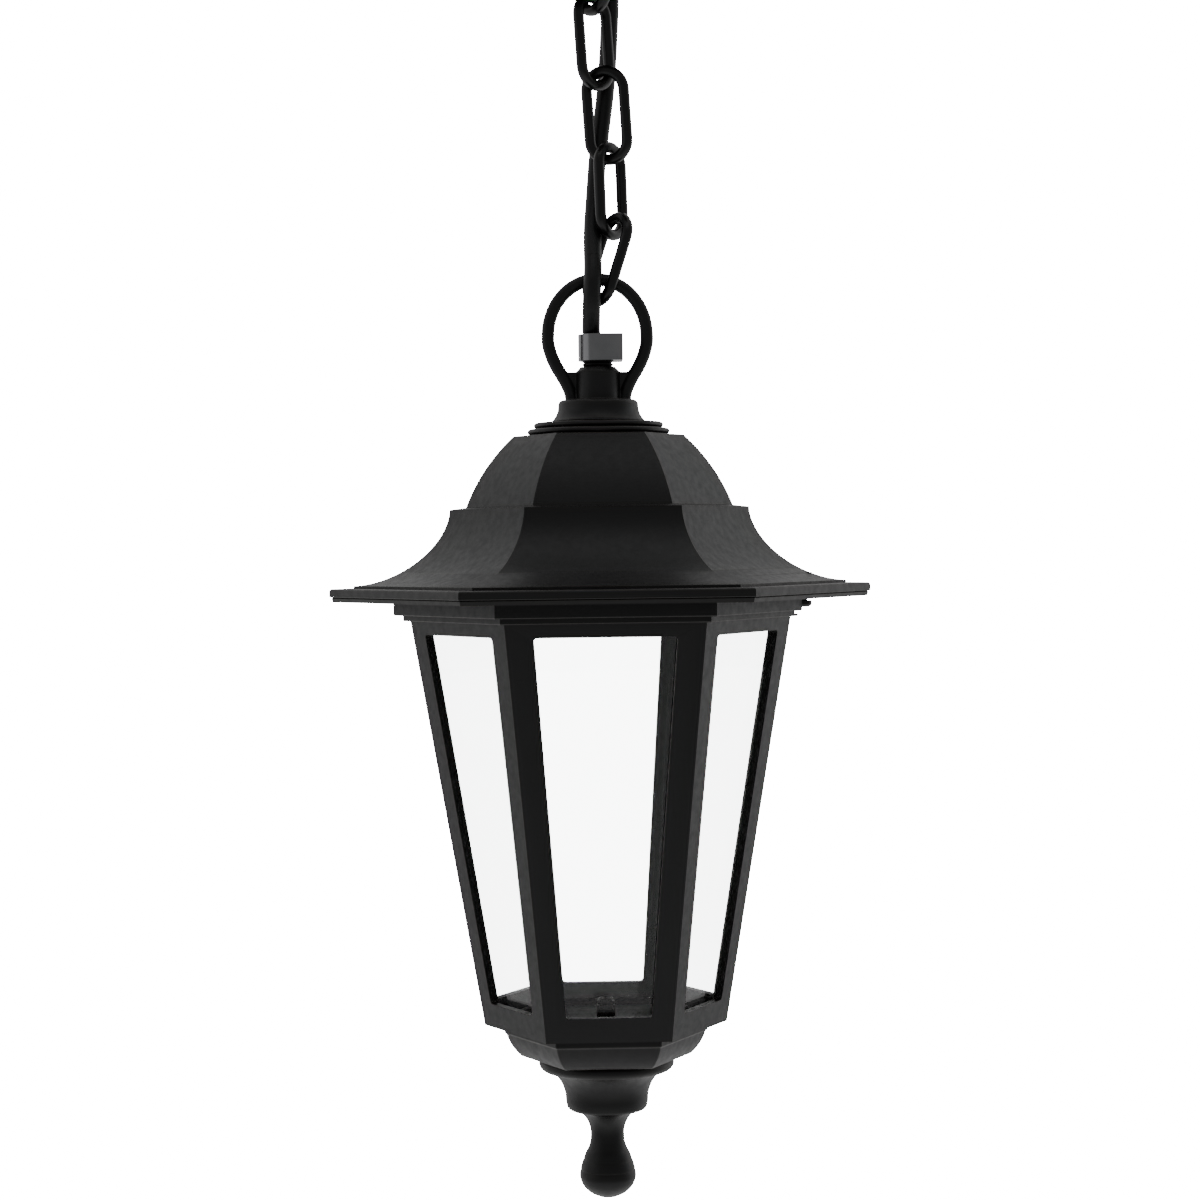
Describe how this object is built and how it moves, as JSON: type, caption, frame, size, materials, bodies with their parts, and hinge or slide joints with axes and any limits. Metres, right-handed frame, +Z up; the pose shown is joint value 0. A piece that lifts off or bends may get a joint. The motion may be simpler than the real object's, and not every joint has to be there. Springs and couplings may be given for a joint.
{
  "type": "hanging lantern",
  "caption": "Hexagonal black hanging lantern with clear glass panes, a domed roof, a turned finial, a short chain, a threaded cable and a round ceiling rose.",
  "frame": {"origin": "centre of the ceiling bracket's flat top, on the lantern's axis at the ceiling face", "axes": "+Z up; a flat side of the hexagon faces -Y; two corners of the hexagon lie on X"},
  "size_m": [0.17, 0.1472, 0.4191],
  "materials": {
    "black_paint": "satin black powder coat with a fine grain",
    "black_steel": "satin black",
    "cable_sheath": "matt black PVC",
    "gunmetal": "blackened, semi-bright",
    "zinc_steel": "bright zinc",
    "brass": "plain brass",
    "holder_plastic": "satin black thermoplastic",
    "porcelain": "white",
    "seal": "matt",
    "pane": "clear polished"
  },
  "bodies": {
    "ceiling": {"rose_cover": "black_paint", "ceiling_bracket": "zinc_steel", "ceiling_hook": "black_steel", "hook_nut": "zinc_steel", "rose_nut": "black_steel", "rose_grommet": "seal", "terminal_block": "porcelain", "supply_cable": "cable_sheath"},
    "link_1": {"chain_link_1": "black_steel"},
    "link_2": {"chain_link_2": "black_steel"},
    "link_3": {"chain_link_3": "black_steel"},
    "link_4": {"chain_link_4": "black_steel"},
    "lantern": {"hanger": "black_paint", "upper_disc": "black_paint", "lower_disc": "black_paint", "nipple": "black_steel", "cord_grip": "gunmetal", "grip_screw": "zinc_steel", "lock_washer": "zinc_steel", "lock_nut": "zinc_steel", "roof": "black_paint", "roof_gasket": "seal", "holder_cap": "holder_plastic", "holder_body": "holder_plastic", "holder_insert": "porcelain", "centre_contact": "brass", "side_contact": "brass", "holder_ring": "holder_plastic"},
    "cage": {"cage_frame": "black_paint", "glass_pane_1": "pane", "glass_pane_2": "pane", "glass_pane_3": "pane", "glass_pane_4": "pane", "glass_pane_5": "pane", "glass_pane_6": "pane", "cage_screw_1": "black_steel", "cage_screw_2": "black_steel", "cage_screw_3": "black_steel", "base_cup": "black_paint", "finial": "black_paint", "finial_screw": "black_steel"}
  },
  "joints": [
    {"name": "swing_1", "type": "hinge", "parent": "ceiling", "child": "link_1", "pos_m": [0, 0, -0.0469], "axis": [0.6428, -0.766, 0], "range_deg": [-12, 12], "deforming": ["supply_cable"]},
    {"name": "swing_2", "type": "hinge", "parent": "link_1", "child": "link_2", "pos_m": [0.0009, 0, -0.07053], "axis": [0.7193, 0.6947, 0], "range_deg": [-12, 12], "deforming": ["supply_cable"]},
    {"name": "swing_3", "type": "hinge", "parent": "link_2", "child": "link_3", "pos_m": [0.00475, 0.00288, -0.09337], "axis": [0.9455, -0.3256, 0], "range_deg": [-12, 12], "deforming": ["supply_cable"]},
    {"name": "swing_4", "type": "hinge", "parent": "link_3", "child": "link_4", "pos_m": [0.00529, 0.0028, -0.11714], "axis": [0.5878, 0.809, 0], "range_deg": [-12, 12], "deforming": ["supply_cable"]},
    {"name": "swing_5", "type": "hinge", "parent": "link_4", "child": "lantern", "pos_m": [-0.00073, 0.0008, -0.13829], "axis": [0.5736, -0.8192, 0], "range_deg": [-12, 7], "deforming": ["supply_cable"]},
    {"name": "cage_release", "type": "slide", "parent": "lantern", "child": "cage", "axis": [0, 0, -1], "range_m": [0, 0.14]}
  ]
}
